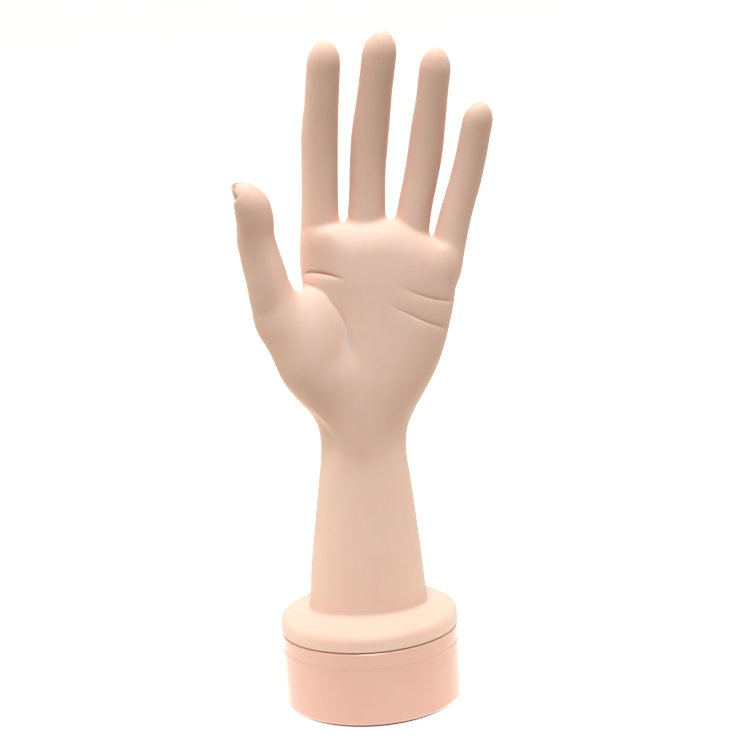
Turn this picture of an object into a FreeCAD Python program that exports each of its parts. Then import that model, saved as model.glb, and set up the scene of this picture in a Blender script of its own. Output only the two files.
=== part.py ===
import FreeCAD, Part
import math
import os

os.makedirs("parts", exist_ok=True)
V = FreeCAD.Vector

# A life-size soft vinyl left hand on a short forearm with a round flange,
# standing on a round weighted stand that it can turn on and be lifted off.
# Millimetres, +Z up, +X towards the little finger, -Y out of the palm.
# The origin is the centre of the stand's underside.

# ------------------------------------------------------------ driving sizes
R_STAND = 40.5          # radius of the stand
R_LID = 40.25           # the lid stands back, so the cup's rim shows as a fine ledge
R_FLANGE = 40.4         # flange of the hand
Z_CUP = 1.0             # underside of the cup's wall
Z_RIM = 27.2            # top of the cup, foot of the lid
Z_LID = 34.40           # top of the lid
Z_FLANGE = 35.00        # underside of the flange
WALL = 2.4              # moulded plastic wall
PAD_R, PAD_T = 38.0, 1.6
SKIN = 3.0              # vinyl wall
R_NECK, Z_NECK = 16.0, 50.0
R_BORE = 16.1           # running fit on the neck
R_TUBE = 18.5
DISC_R, DISC_Z0, DISC_Z1 = 37.2, 36.3, 39.5
BALLAST_T = 10.0
BOLT_N = 3
R_LIDBOLT, R_BALBOLT = 29.0, 20.0
NAIL_T = 0.75
NAIL_GAP = 0.12

# forearm and palm: z, left x, right x, palm-side y, back y, roundness
ARM = [
    (36, -27.4, 27.4, -24.8, 24.6, 2.0),
    (46, -26.9, 27.2, -24.0, 23.4, 2.0),
    (55, -25.8, 26.6, -22.8, 22.2, 2.0), (65, -24.7, 26.0, -21.5, 20.8, 2.0),
    (75, -23.2, 25.3, -20.3, 19.4, 2.0), (85, -21.6, 24.5, -19.1, 18.1, 2.0),
    (95, -20.0, 23.7, -17.9, 16.9, 2.0), (105, -18.4, 22.8, -16.9, 15.7, 2.05),
    (113, -17.1, 22.0, -16.3, 15.0, 2.1), (120, -16.5, 22.1, -16.2, 14.6, 2.15),
    (127, -16.9, 23.4, -16.4, 14.3, 2.2), (134, -18.4, 26.7, -16.5, 14.1, 2.3),
    (142, -19.2, 31.6, -16.4, 14.0, 2.4), (150, -20.0, 36.4, -15.6, 13.9, 2.5),
    (160, -20.0, 40.9, -14.4, 13.7, 2.6), (170, -20.0, 44.1, -13.4, 13.4, 2.7),
    (180, -19.8, 46.7, -12.9, 13.0, 2.7), (190, -19.7, 48.6, -12.9, 12.6, 2.7),
    (199, -19.2, 51.0, -12.9, 12.2, 2.7), (208, -18.5, 53.0, -12.5, 11.8, 2.6),
    (216, -18.2, 54.6, -11.0, 11.0, 2.5),
]
ARM_TIP = (203.0, 12.0)
TOP_SLOPE = (20.0, 215.2, 20.0)   # where the slope under the last two fingers starts, its fall in degrees

# depth of the palm in front of the middle plane, by x and by z
PALM_X = [-20, -10, 0, 10, 20, 30, 40, 50]
PALM = [
    (116, [16.3] * 8), (124, [16.7] * 8),
    (132, [16.8, 16.9, 17.1, 17.4, 17.4, 17.1, 16.5, 15.6]),
    (140, [16.6, 17.0, 17.6, 18.0, 18.0, 17.3, 16.0, 14.8]),
    (148, [16.1, 16.8, 17.7, 18.2, 18.3, 17.6, 16.0, 14.4]),
    (156, [15.4, 16.3, 17.3, 18.0, 18.2, 17.7, 16.2, 14.4]),
    (164, [14.6, 15.5, 16.7, 17.5, 17.8, 17.4, 16.2, 14.4]),
    (172, [13.9, 14.8, 16.0, 16.9, 17.2, 17.0, 16.1, 14.4]),
    (180, [13.4, 14.2, 15.4, 16.3, 16.6, 16.5, 15.8, 14.4]),
    (188, [13.2, 13.9, 15.0, 15.8, 16.1, 16.0, 15.5, 14.3]),
    (196, [12.9, 13.7, 14.8, 15.2, 15.4, 15.3, 14.9, 14.0]),
    (204, [12.1, 13.0, 14.2, 14.4, 14.4, 14.1, 13.8, 13.0]),
    (212, [13.2, 13.3, 13.4, 13.5, 13.2, 12.8, 12.2, 11.3]),
    (220, [13.2, 12.9, 12.4, 12.3, 12.1, 11.5, 10.8, 10.0]),
]

# digits: root and tip of the axis, roll about it, start of the rounded tip and
# its length, start of the rounded root and its length, then rows of
# s, cu, half width, cv, pad depth, back depth, roundness along the axis
DIGITS = {
    "index": ((-10.6, 1.5, 200), (-3.3, 1.5, 299.5), -8, (88.3, 10.9), (2, 12), [
        (-12, 0.2, 9.0, 0.6, 9.2, 9.6, 2.2), (8, -0.3, 8.8, 0.6, 9.0, 9.2, 2.2),
        (20, -0.7, 8.35, 0.1, 8.6, 8.6, 2.1), (32, -0.8, 8.0, -0.9, 8.3, 8.0, 2.1),
        (42, -0.9, 7.95, -2.2, 8.1, 7.8, 2.1), (50, -0.95, 7.95, -3.8, 7.8, 8.0, 2.1),
        (58, -0.9, 7.95, -5.8, 7.5, 7.7, 2.1), (65, -0.6, 7.75, -7.8, 7.2, 7.2, 2.1),
        (72, -0.1, 7.4, -9.9, 7.1, 6.6, 2.1), (80, 0.3, 7.3, -12.2, 7.0, 6.0, 2.15),
        (88, 0.75, 7.15, -14.6, 6.9, 5.2, 2.2), (100, 1.3, 7.0, -18.0, 6.6, 4.6, 2.2),
    ]),
    "middle": ((9.0, 1.7, 200), (22.5, 1.7, 302.5), -2, (91.0, 11.2), (2, 12), [
        (-12, 0.2, 9.4, 0.6, 9.4, 9.8, 2.2), (8, -0.4, 9.2, 0.6, 9.2, 9.4, 2.2),
        (20, -1.0, 8.5, 0.1, 8.8, 8.8, 2.1), (32, -1.4, 8.0, -0.8, 8.5, 8.2, 2.1),
        (42, -1.95, 7.95, -2.0, 8.3, 8.0, 2.1), (50, -2.0, 8.05, -3.5, 8.1, 8.2, 2.1),
        (59, -1.9, 8.05, -5.7, 7.7, 7.9, 2.1), (67, -1.55, 7.75, -8.0, 7.4, 7.4, 2.1),
        (76, -1.15, 7.4, -10.8, 7.1, 6.6, 2.1), (84, -0.75, 7.35, -13.2, 7.1, 6.0, 2.15),
        (91, -0.45, 7.3, -15.4, 6.9, 5.2, 2.2), (103, 0.4, 7.0, -18.9, 6.6, 4.6, 2.2),
    ]),
    "ring": ((27.5, 1.5, 200), (46.5, 1.5, 293.5), 4, (83.8, 10.8), (2, 12), [
        (-12, 0.4, 8.9, 0.6, 9.0, 9.4, 2.2), (6, 0.1, 8.5, 0.6, 8.8, 9.0, 2.2),
        (18, -0.3, 7.75, 0.1, 8.3, 8.4, 2.1), (28, -0.03, 7.5, -0.7, 8.0, 7.9, 2.1),
        (38, 0.55, 7.5, -1.8, 7.8, 7.6, 2.1), (46, 0.75, 7.55, -3.3, 7.6, 7.8, 2.1),
        (54, 0.65, 7.5, -5.2, 7.3, 7.6, 2.1), (61, 0.35, 7.3, -7.2, 7.0, 7.1, 2.1),
        (68, 0.2, 6.95, -9.3, 6.8, 6.4, 2.1), (76, -0.15, 6.7, -11.7, 6.8, 5.7, 2.15),
        (83, -0.5, 6.7, -13.9, 6.6, 5.0, 2.2), (95, -0.9, 6.5, -17.4, 6.3, 4.4, 2.2),
    ]),
    "little": ((44.5, 1.0, 195), (62.0, 1.0, 269.5), 10, (66.5, 9.6), (2, 12), [
        (-12, -0.6, 6.6, 0.4, 8.0, 8.4, 2.2), (6, -1.1, 7.4, 0.4, 8.2, 8.2, 2.2),
        (16, -0.9, 7.3, -0.1, 7.8, 7.6, 2.1), (26, -0.4, 7.05, -1.0, 7.3, 7.0, 2.1),
        (34, 0.3, 6.95, -2.2, 6.9, 6.7, 2.1), (41, 0.95, 6.85, -3.6, 6.7, 6.9, 2.1),
        (48, 1.25, 6.75, -5.2, 6.5, 6.7, 2.1), (54, 1.35, 6.65, -6.8, 6.3, 6.2, 2.1),
        (60, 1.2, 6.6, -8.6, 6.2, 5.5, 2.15), (66, 1.15, 6.5, -10.5, 6.0, 4.9, 2.2),
        (78, 1.4, 6.3, -14.0, 5.8, 4.3, 2.2),
    ]),
}
THUMB = ((-32.0, -9.0, 176.0), (-42.0, -18.5, 240.3), (55.9, 12.1), (4, 12), [
    (-12, 0, 8.4, 0, 12.0, 6.0, 2.1), (4, 0, 8.6, 0.0, 11.8, 7.8, 2.1),
    (14, 0, 9.3, 0, 11.4, 8.4, 2.1), (20, 0, 9.3, 0, 10.7, 8.0, 2.1),
    (25, 0, 9.2, 0, 10.2, 7.8, 2.1), (30, 0, 8.9, 0, 9.8, 7.9, 2.1),
    (36, -0.1, 8.7, 0, 9.2, 7.6, 2.1), (42, -0.5, 8.6, 0, 9.2, 7.2, 2.1),
    (46, -0.8, 8.7, -0.2, 9.9, 6.4, 2.1), (50, -1.2, 8.9, -0.35, 10.6, 5.1, 2.1),
    (55, -1.9, 8.8, -0.5, 10.6, 4.4, 2.15), (60, -2.8, 8.4, -0.6, 10.2, 4.1, 2.2),
    (66, -4.0, 7.8, -0.7, 9.4, 3.9, 2.2)])
THENAR = ((-4.0, -3.0, 126.0), (-34.0, -9.5, 184.0), (58, 14), (4, 14), [
    (-10, 0, 5, 0, 9, 4, 2.0), (8, 0, 6.8, 0, 11, 3.2, 2.0),
    (22, 0, 9.2, 0, 13, 4.6, 2.05), (36, 0, 12.9, 0, 14.2, 8.4, 2.1),
    (50, 0, 11.7, 0, 13.4, 7.8, 2.1), (62, 0, 10.2, 0, 12, 9.0, 2.1),
    (75, 0, 9.6, 0, 11, 8.8, 2.1)])
THENAR_PAD = ((-14.8, -7.2, 165.5), (15.0, 14.4, 27.8))    # centre and radii
WEB = ((-32.0, -8.5, 182.0), (-14.0, -3.5, 185.0), 6.2, 7.2)  # skin between thumb and palm

# nails: s at the root and at the free edge, half width, transverse radius
NAILS = {
    "index": (84.4, 96.6, 4.9, 6.8), "middle": (87.8, 100.3, 5.1, 7.0),
    "ring": (80.4, 92.6, 4.7, 6.6), "little": (63.0, 73.6, 4.1, 5.8),
    "thumb": (49.0, 67.4, 6.2, 9.2),
}
THUMB_NAIL_LINE = (2.3, 2.75)    # its height over the thumb's axis, root and free edge


# ------------------------------------------------------------------ helpers
def vsub(a, b):
    return (a[0] - b[0], a[1] - b[1], a[2] - b[2])


def vdot(a, b):
    return a[0] * b[0] + a[1] * b[1] + a[2] * b[2]


def vmul(a, k):
    return (a[0] * k, a[1] * k, a[2] * k)


def vadd(a, b):
    return (a[0] + b[0], a[1] + b[1], a[2] + b[2])


def vunit(a):
    n = math.sqrt(vdot(a, a))
    return (a[0] / n, a[1] / n, a[2] / n)


def vcross(a, b):
    return (a[1] * b[2] - a[2] * b[1], a[2] * b[0] - a[0] * b[2], a[0] * b[1] - a[1] * b[0])


def axes(p0, p1, hint):
    w = vunit(vsub(p1, p0))
    v = vunit(vsub(hint, vmul(w, vdot(hint, w))))
    return vcross(v, w), v, w


def smooth(rows, x):
    """One row of the table at x, by cubic pieces through its columns."""
    n = len(rows)
    x = min(max(x, rows[0][0]), rows[-1][0])
    i = 0
    while i < n - 2 and rows[i + 1][0] < x:
        i += 1
    out = []
    h = rows[i + 1][0] - rows[i][0]
    t = (x - rows[i][0]) / h
    for k in range(1, len(rows[0])):
        def sec(j):
            return (rows[j + 1][k] - rows[j][k]) / (rows[j + 1][0] - rows[j][0])

        def slope(j):
            if j == 0:
                return sec(0)
            if j == n - 1:
                return sec(n - 2)
            h0 = rows[j][0] - rows[j - 1][0]
            h1 = rows[j + 1][0] - rows[j][0]
            return (sec(j - 1) * h1 + sec(j) * h0) / (h0 + h1)
        y0, y1, m0, m1 = rows[i][k], rows[i + 1][k], slope(i), slope(i + 1)
        out.append((2 * t ** 3 - 3 * t ** 2 + 1) * y0 + (t ** 3 - 2 * t ** 2 + t) * h * m0
                   + (-2 * t ** 3 + 3 * t ** 2) * y1 + (t ** 3 - t ** 2) * h * m1)
    return out


def palm_depth(x, z):
    """Depth of the palm, by cubic pieces through the PALM table."""
    fx = min(max((x - PALM_X[0]) / 10.0, 0), len(PALM_X) - 1.000001)
    fz = min(max((z - PALM[0][0]) / 8.0, 0), len(PALM) - 1.000001)
    ix, iz = int(fx), int(fz)

    def wt(t):
        return (-0.5 * t + t * t - 0.5 * t ** 3, 1 - 2.5 * t * t + 1.5 * t ** 3,
                0.5 * t + 2 * t * t - 1.5 * t ** 3, -0.5 * t * t + 0.5 * t ** 3)
    wx, wz = wt(fx - ix), wt(fz - iz)
    out = 0.0
    for a in range(4):
        for b in range(4):
            out += wx[a] * wz[b] * PALM[min(max(iz + b - 1, 0), len(PALM) - 1)][1][min(max(ix + a - 1, 0), len(PALM_X) - 1)]
    return out


def section(p0, u, v, w, s, row, f, inset, roll=0.0, front=None, count=20):
    cu, a, cv, bf, bb, n = row
    a, bf, bb = a - inset, bf - inset, bb - inset
    cr, sr = math.cos(math.radians(roll)), math.sin(math.radians(roll))
    pts = []
    for i in range(count):
        t = 2 * math.pi * i / count
        c, q = math.cos(t), math.sin(t)
        m = (abs(c) ** n + abs(q) ** n) ** (-1.0 / n)
        x = a * c * m
        depth = bb if q > 0 else bf
        if front and q < 0:
            depth = front(cu + x, s) - inset
        y = depth * q * m
        x, y = cu + f * (x * cr - y * sr), cv + f * (x * sr + y * cr)
        pts.append(V(*vadd(vadd(p0, vmul(u, x)), vadd(vmul(v, y), vmul(w, s)))))
    curve = Part.BSplineCurve()
    curve.interpolate(Points=pts, PeriodicFlag=True, Parameters=[float(i) for i in range(count + 1)])
    return Part.Wire([curve.toShape()])


def limb(p0, u, v, w, rows, tip=None, root=None, inset=0.0, step=9.0, roll=0.0, front=None, count=20):
    """A smooth body through the sections of a table, with rounded ends."""
    stations = []
    lo, hi = rows[0][0], rows[-1][0]
    if root:
        sb, hb = root[0], root[1] - inset
        for t in (0.97, 0.85, 0.62, 0.33):
            stations.append((sb - hb * t, math.sqrt(1 - t * t)))
        lo = sb
    if tip:
        hi = tip[0]
    k = max(2, int(round((hi - lo) / step)))
    for i in range(k + 1):
        stations.append((lo + (hi - lo) * i / k, 1.0))
    if tip:
        st, ht = tip[0], tip[1] - inset
        for t in (0.3, 0.55, 0.75, 0.88, 0.96, 0.992):
            stations.append((st + ht * t, math.sqrt(1 - t * t)))
    wires = [section(p0, u, v, w, s, smooth(rows, s), f, inset, roll, front, count) for s, f in stations]
    body = Part.makeLoft(wires, True, False)
    if body.Volume < 0:
        body.reverse()
    return body


def egg(centre, radii, inset):
    m = FreeCAD.Matrix()
    m.scale(radii[0] - inset, radii[1] - inset, radii[2] - inset)
    s = Part.makeSphere(1.0).transformGeometry(m)
    s.translate(V(*centre))
    return s


def cyl(r, z0, z1, x=0.0, y=0.0):
    return Part.makeCylinder(r, z1 - z0, V(x, y, z0))


def tube(ro, ri, z0, z1, x=0.0, y=0.0):
    return cyl(ro, z0, z1, x, y).cut(cyl(ri, z0 - 1, z1 + 1, x, y))


def turned(points):
    w = Part.makePolygon([V(r, 0, z) for r, z in points + [points[0]]])
    return Part.Face(w).revolve(V(0, 0, 0), V(0, 0, 1), 360)


def ring_of(r, n, turn=0.0):
    return [(r * math.cos(math.radians(turn) + 2 * math.pi * i / n),
             r * math.sin(math.radians(turn) + 2 * math.pi * i / n)) for i in range(n)]


def one(shape):
    """The shape as clean solids."""
    shape = shape.removeSplitter()
    s = shape.Solids
    return s[0] if len(s) == 1 else Part.makeCompound(s)


def save(name, shape):
    shape.exportStep("parts/%s.step" % name)
    print(name, len(shape.Solids), "valid" if shape.isValid() else "INVALID", round(shape.Volume, 1))


# ------------------------------------------------------------------ the hand
def arm_rows():
    return [(z, (a + b) / 2.0, (b - a) / 2.0, 0.0, -f, k, n) for z, a, b, f, k, n in ARM]


FR = {}
for name, (p0, p1, roll, tip, root, rows) in DIGITS.items():
    FR[name] = (p0,) + axes(p0, p1, (0, 1, 0))
FR["thumb"] = (THUMB[0],) + axes(THUMB[0], THUMB[1], (-0.975, 0.22, 0))
FR["thenar"] = (THENAR[0],) + axes(THENAR[0], THENAR[1], (-0.80, 0.60, 0))
FR["web"] = (WEB[0],) + axes(WEB[0], WEB[1], (0, 1, 0))


def arm_front(x, z):
    """Front depth along the arm: the forearm's own, then the palm table."""
    t = min(max((z - 112.0) / 10.0, 0.0), 1.0)
    t = t * t * (3 - 2 * t)
    return smooth(arm_rows(), z)[3] * (1 - t) + palm_depth(x, z) * t


def hand_masses(inset):
    palm = limb((0, 0, 0), (1, 0, 0), (0, 1, 0), (0, 0, 1), arm_rows(), tip=ARM_TIP,
                inset=inset, step=8.0, front=arm_front, count=28)
    # the palm's top slopes down under the ring and little fingers
    slope = Part.makeBox(80, 80, 40, V(0, -40, 0))
    slope.rotate(V(0, 0, 0), V(0, 1, 0), TOP_SLOPE[2])
    slope.translate(V(TOP_SLOPE[0], 0, TOP_SLOPE[1] - inset))
    out = [palm.cut(slope)]
    out.append(egg(THENAR_PAD[0], THENAR_PAD[1], inset))
    for key, d in (("thenar", THENAR), ("thumb", THUMB)):
        p0, u, v, w = FR[key]
        out.append(limb(p0, u, v, w, d[4], tip=d[2], root=d[3], inset=inset))
    p0, u, v, w = FR["web"]
    r0, r1 = WEB[2], WEB[3]
    span = math.sqrt(vdot(vsub(WEB[1], WEB[0]), vsub(WEB[1], WEB[0])))
    out.append(limb(p0, u, v, w, [(0, 0, r0, 0, r0, r0, 2.0), (span, 0, r1, 0, r1, r1, 2.0)],
                    tip=(span, r1), root=(0, r0), inset=inset))
    for key, (q0, q1, roll, tip, root, rows) in DIGITS.items():
        p0, u, v, w = FR[key]
        out.append(limb(p0, u, v, w, rows, tip=tip, root=root, inset=inset, roll=roll))
    return out


def fused(parts):
    body = parts[0]
    for p in parts[1:]:
        body = body.fuse(p)
    return body


EDGE = 3.6
flange = turned([(0, Z_FLANGE), (R_FLANGE, Z_FLANGE), (R_FLANGE, 42.0), (26.0, 46.9), (22.0, 49.5), (0, 49.5)])
rim = [e for e in flange.Edges if abs(e.BoundBox.ZMin - 42.0) < 1e-6 and abs(e.BoundBox.ZMax - 42.0) < 1e-6]
flange = flange.makeFillet(EDGE, rim)

outer = fused(hand_masses(0.0) + [flange])
outer = outer.cut(Part.makeBox(200, 200, 60, V(-100, -100, Z_FLANGE - 60)))
cavity = fused(hand_masses(SKIN))
cavity = cavity.common(Part.makeBox(200, 200, 400, V(-100, -100, DISC_Z1 + 0.1)))
seat = cyl(DISC_R + 0.1, DISC_Z0 - 0.1, DISC_Z1 + 0.1)
mouth = cyl(34.5, Z_FLANGE - 1, DISC_Z0 + 1)
skin = outer.cut(cavity).cut(seat).cut(mouth)


def nail(key, grow=0.0, above=0.0):
    """A curved plate that follows the back of the fingertip; grow and above make its pocket."""
    p0, u, v, w = FR[key]
    s0, s1, hw, rt = NAILS[key]
    roll = 0.0 if key == "thumb" else DIGITS[key][2]
    rows = THUMB[4] if key == "thumb" else DIGITS[key][5]
    cr, sr = math.cos(math.radians(roll)), math.sin(math.radians(roll))
    wires = []
    m = 9
    for t, k in ((0.0, 0.62), (0.06, 0.82), (0.16, 0.95), (0.32, 1.0), (0.55, 1.0), (0.75, 0.99),
                 (0.88, 0.94), (0.96, 0.82), (1.0, 0.66)):
        s = s0 + (s1 - s0) * t + grow * (2 * t - 1)
        cu, a, cv, bf, bb, n = smooth(rows, s)
        if key == "thumb":
            h = THUMB_NAIL_LINE[0] * (1 - t) + THUMB_NAIL_LINE[1] * t + 1.2 * t * (1 - t) - cv
        else:
            h = bb - 0.35 + 0.95 * t - 0.35 * t * t
        half = hw * k + grow
        top, low = [], []
        for i in range(m):
            x = -half + 2 * half * i / (m - 1)
            drop = rt - math.sqrt(rt * rt - x * x)
            top.append((x, h - drop + grow + above))
            low.append((x, h - drop - NAIL_T - grow))
        loop = [(cu + x * cr - y * sr, cv + x * sr + y * cr) for x, y in top + low[::-1]]
        pts = [V(*vadd(vadd(p0, vmul(u, x)), vadd(vmul(v, y), vmul(w, s)))) for x, y in loop]
        e1 = Part.BSplineCurve()
        e1.interpolate(Points=pts[:m], Parameters=[float(i) for i in range(m)])
        e2 = Part.BSplineCurve()
        e2.interpolate(Points=pts[m:], Parameters=[float(i) for i in range(m)])
        wires.append(Part.Wire([e1.toShape(), Part.makeLine(pts[m - 1], pts[m]), e2.toShape(),
                                Part.makeLine(pts[-1], pts[0])]))
    return Part.makeLoft(wires, True, False)


for key in ("thumb", "index", "middle", "ring", "little"):
    plate = nail(key)
    skin = skin.cut(nail(key, NAIL_GAP, 3.0))
    save(key + "_nail", one(plate))
save("hand_skin", one(skin))

# rigid foam that fills the hollow of the skin down to the insert
core = fused(hand_masses(SKIN + 0.15))
core = core.common(Part.makeBox(200, 200, 400, V(-100, -100, DISC_Z1 + 0.25)))
core = core.cut(cyl(R_TUBE + 0.15, 30, 54.0))
for key in NAILS:
    core = core.cut(nail(key, 0.9, 3.0))
save("hand_core", one(core))

# rigid insert: disc in the flange, tube up the forearm, blind bore for the neck
LUGS = ring_of(27.0, 3, 30)
socket = cyl(DISC_R, DISC_Z0, DISC_Z1).fuse(cyl(R_TUBE, DISC_Z1 - 0.5, 53.8))
socket = socket.cut(cyl(R_BORE, DISC_Z0 - 1, 51.4))
for x, y in LUGS:
    socket = socket.cut(cyl(2.9, DISC_Z0 - 1, 38.3, x, y))
save("socket_cup", one(socket))

# --------------------------------------------------------------- the stand
ring = tube(39.0, 19.5, Z_LID + 0.05, Z_FLANGE - 0.05)
for x, y in LUGS:
    ring = ring.fuse(cyl(2.5, Z_LID + 0.05, 38.0, x, y))
save("turn_ring", one(ring))

PAD_TOP = PAD_T
FLOOR = PAD_TOP + WALL
cup = turned([(0, PAD_TOP), (PAD_R + 0.3, PAD_TOP), (PAD_R + 0.3, Z_CUP), (R_STAND - 1.0, Z_CUP),
              (R_STAND, Z_CUP + 1.2), (R_STAND, Z_RIM), (R_STAND - WALL, Z_RIM), (R_STAND - WALL, FLOOR), (0, FLOOR)])
LB = ring_of(R_LIDBOLT, BOLT_N, 90)
BB = ring_of(R_BALBOLT, BOLT_N, 30)
for x, y in LB:
    cup = cup.fuse(cyl(5.0, FLOOR - 0.5, FLOOR + 2.4, x, y))
for x, y in BB:
    cup = cup.fuse(cyl(4.0, FLOOR - 0.5, FLOOR + 4.0, x, y))
for x, y in LB:
    cup = cup.cut(cyl(3.6, PAD_TOP - 1, PAD_TOP + 2.4, x, y)).cut(cyl(1.8, PAD_TOP, FLOOR + 5, x, y))
for x, y in BB:
    cup = cup.cut(cyl(1.5, FLOOR, FLOOR + 6, x, y))
save("base_cup", one(cup))

plate = cyl(R_STAND - WALL - 1.2, FLOOR, FLOOR + BALLAST_T)
for x, y in LB:
    plate = plate.cut(cyl(5.6, FLOOR - 1, FLOOR + BALLAST_T + 1, x, y))
for x, y in BB:
    plate = plate.cut(cyl(4.3, FLOOR - 1, FLOOR + 4.2, x, y)).cut(cyl(2.2, FLOOR, FLOOR + BALLAST_T + 1, x, y))
save("ballast_plate", one(plate))


def screw(x, y, z_head, up, r_head, h_head, r_shank, length):
    """Pan-head screw with a cross recess; up = +1 points its head upwards."""
    if up > 0:
        head = cyl(r_head, z_head, z_head + h_head, x, y)
        edge = [e for e in head.Edges if abs(e.BoundBox.ZMin - z_head - h_head) < 1e-6 and e.BoundBox.XLength > 1]
        head = head.makeFillet(h_head * 0.45, edge)
        s = head.fuse(cyl(r_shank, z_head - length, z_head + 0.4, x, y))
        for a, b in ((2.6, 0.7), (0.7, 2.6)):
            s = s.cut(Part.makeBox(a, b, 2, V(x - a / 2, y - b / 2, z_head + h_head - 1.0)))
    else:
        head = cyl(r_head, z_head - h_head, z_head, x, y)
        edge = [e for e in head.Edges if abs(e.BoundBox.ZMax - z_head + h_head) < 1e-6 and e.BoundBox.XLength > 1]
        head = head.makeFillet(h_head * 0.45, edge)
        s = head.fuse(cyl(r_shank, z_head - 0.4, z_head + length, x, y))
        for a, b in ((2.6, 0.7), (0.7, 2.6)):
            s = s.cut(Part.makeBox(a, b, 2, V(x - a / 2, y - b / 2, z_head - h_head - 1.0)))
    return s


save("ballast_screws", Part.makeCompound(
    [one(screw(x, y, FLOOR + BALLAST_T, 1, 3.6, 2.2, 1.5, BALLAST_T - 0.6)) for x, y in BB]))
save("lid_screws", Part.makeCompound(
    [one(screw(x, y, PAD_TOP + 2.4, -1, 3.4, 2.1, 1.5, 13.0)) for x, y in LB]))

lid = turned([(0, Z_LID - WALL), (R_STAND - WALL - 2.45, Z_LID - WALL), (R_STAND - WALL - 2.45, Z_RIM - 5.0),
              (R_STAND - WALL - 0.15, Z_RIM - 5.0), (R_STAND - WALL - 0.15, Z_RIM), (R_LID, Z_RIM),
              (R_LID, Z_LID - 0.5), (R_LID - 0.5, Z_LID), (R_NECK, Z_LID), (R_NECK, Z_NECK - 1.5),
              (R_NECK - 1.5, Z_NECK), (0, Z_NECK)])
lid = lid.cut(cyl(R_NECK - 2.6, Z_LID - WALL - 1, Z_NECK - 2.4))
for x, y in LB:
    lid = lid.fuse(cyl(4.0, FLOOR + 2.5, Z_LID - WALL + 0.5, x, y))
for x, y in LB:
    lid = lid.cut(cyl(1.5, FLOOR, FLOOR + 16, x, y))
GROOVE = (Z_NECK - 6.0, Z_NECK - 3.8)
lid = lid.cut(tube(R_NECK + 1, R_NECK - 1.55, GROOVE[0], GROOVE[1]))
save("base_lid", one(lid))

mid = (GROOVE[0] + GROOVE[1]) / 2.0
save("friction_ring", Part.makeTorus(R_NECK - 0.77, 0.78, V(0, 0, mid)))

pad = cyl(PAD_R, 0, PAD_T)
save("foot_pad", pad)
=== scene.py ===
import bpy, bmesh, math
import numpy as np
from mathutils import Matrix, Vector


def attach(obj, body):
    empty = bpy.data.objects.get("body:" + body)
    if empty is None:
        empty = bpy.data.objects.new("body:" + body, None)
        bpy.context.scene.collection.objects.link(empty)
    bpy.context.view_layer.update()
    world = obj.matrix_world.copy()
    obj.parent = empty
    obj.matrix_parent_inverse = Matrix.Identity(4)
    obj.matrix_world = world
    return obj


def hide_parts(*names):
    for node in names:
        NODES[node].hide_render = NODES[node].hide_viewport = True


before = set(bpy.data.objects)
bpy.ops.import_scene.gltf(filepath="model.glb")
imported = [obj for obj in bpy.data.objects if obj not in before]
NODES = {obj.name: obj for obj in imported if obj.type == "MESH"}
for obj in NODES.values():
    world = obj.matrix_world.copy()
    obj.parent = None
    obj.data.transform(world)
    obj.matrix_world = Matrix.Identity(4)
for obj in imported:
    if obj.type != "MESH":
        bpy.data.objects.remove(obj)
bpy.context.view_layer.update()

# ============================================================ shape tables (mm)
# The hand is one smooth field: forearm and palm, thenar mass, web, five digits
# and the flange. Sections are superellipses: z, left x, right x, palm-side y,
# back y, roundness.
ARM = [
    (30, -27.6, 27.6, -25.2, 25.0, 2.0), (36, -27.4, 27.4, -24.8, 24.6, 2.0),
    (46, -26.9, 27.2, -24.0, 23.4, 2.0),
    (55, -25.8, 26.6, -22.8, 22.2, 2.0), (65, -24.7, 26.0, -21.5, 20.8, 2.0),
    (75, -23.2, 25.3, -20.3, 19.4, 2.0), (85, -21.6, 24.5, -19.1, 18.1, 2.0),
    (95, -20.0, 23.7, -17.9, 16.9, 2.0), (105, -18.4, 22.8, -16.9, 15.7, 2.05),
    (113, -17.1, 22.0, -16.3, 15.0, 2.1), (120, -16.5, 22.1, -16.2, 14.6, 2.15),
    (127, -16.9, 23.4, -16.4, 14.3, 2.2), (134, -18.4, 26.7, -16.5, 14.1, 2.3),
    (142, -19.2, 31.6, -16.4, 14.0, 2.4), (150, -20.0, 36.4, -15.6, 13.9, 2.5),
    (160, -20.0, 40.9, -14.4, 13.7, 2.6), (170, -20.0, 44.1, -13.4, 13.4, 2.7),
    (180, -19.8, 46.7, -12.9, 13.0, 2.7), (190, -19.7, 48.6, -12.9, 12.6, 2.7),
    (199, -19.2, 51.0, -12.9, 12.2, 2.7), (208, -18.5, 53.0, -12.5, 11.8, 2.6),
    (216, -18.2, 54.6, -11.0, 11.0, 2.5),
]
PALM_X = [-20, -10, 0, 10, 20, 30, 40, 50]
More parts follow.
